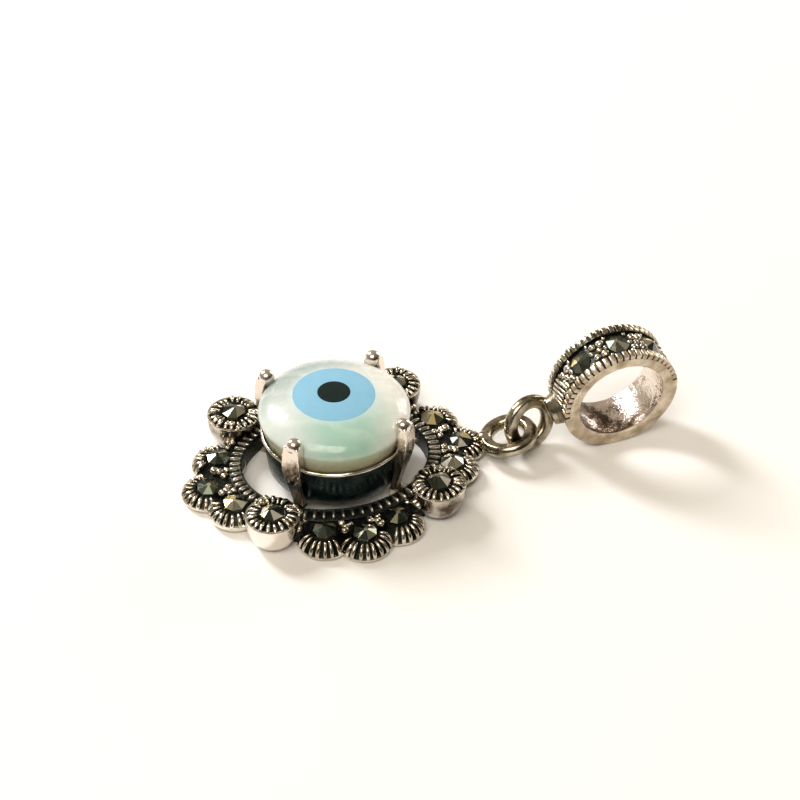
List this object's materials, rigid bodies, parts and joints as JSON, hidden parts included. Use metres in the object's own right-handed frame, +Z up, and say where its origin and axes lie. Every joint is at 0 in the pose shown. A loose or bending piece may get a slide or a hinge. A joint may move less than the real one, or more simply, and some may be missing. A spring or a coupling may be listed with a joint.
{
  "type": "evil eye pendant",
  "caption": "Openwork silver pendant with a domed mother-of-pearl eye in a four-prong cup, marcasite settings round it, and a round marcasite bail on two linked loops.",
  "frame": {"origin": "under the centre of the eye, on the flat back that the pendant rests on", "axes": "+X from the lower tip of the pendant to its bail, +Z up through the eye"},
  "size_m": [0.0335, 0.0184, 0.0084],
  "materials": {
    "silver": "polished sterling silver with a warm tint, black oxide in the grooves",
    "nacre": "polished mother-of-pearl, pale green to white",
    "blue_inlay": "glossy sky blue",
    "black_inlay": "glossy near-black",
    "marcasite": "faceted pyrite with a metallic lustre"
  },
  "bodies": {
    "root": {"frame": "silver", "eye_stone": "nacre", "iris": "blue_inlay", "pupil": "black_inlay", "bail": "silver", "marcasite_01": "marcasite", "marcasite_02": "marcasite", "marcasite_03": "marcasite", "marcasite_04": "marcasite", "marcasite_05": "marcasite", "marcasite_06": "marcasite", "marcasite_07": "marcasite", "marcasite_08": "marcasite", "marcasite_09": "marcasite", "marcasite_10": "marcasite", "marcasite_11": "marcasite", "marcasite_12": "marcasite", "marcasite_13": "marcasite", "marcasite_14": "marcasite", "marcasite_15": "marcasite", "marcasite_16": "marcasite", "bail_marcasite_1": "marcasite", "bail_marcasite_2": "marcasite", "bail_marcasite_3": "marcasite"}
  },
  "joints": []
}
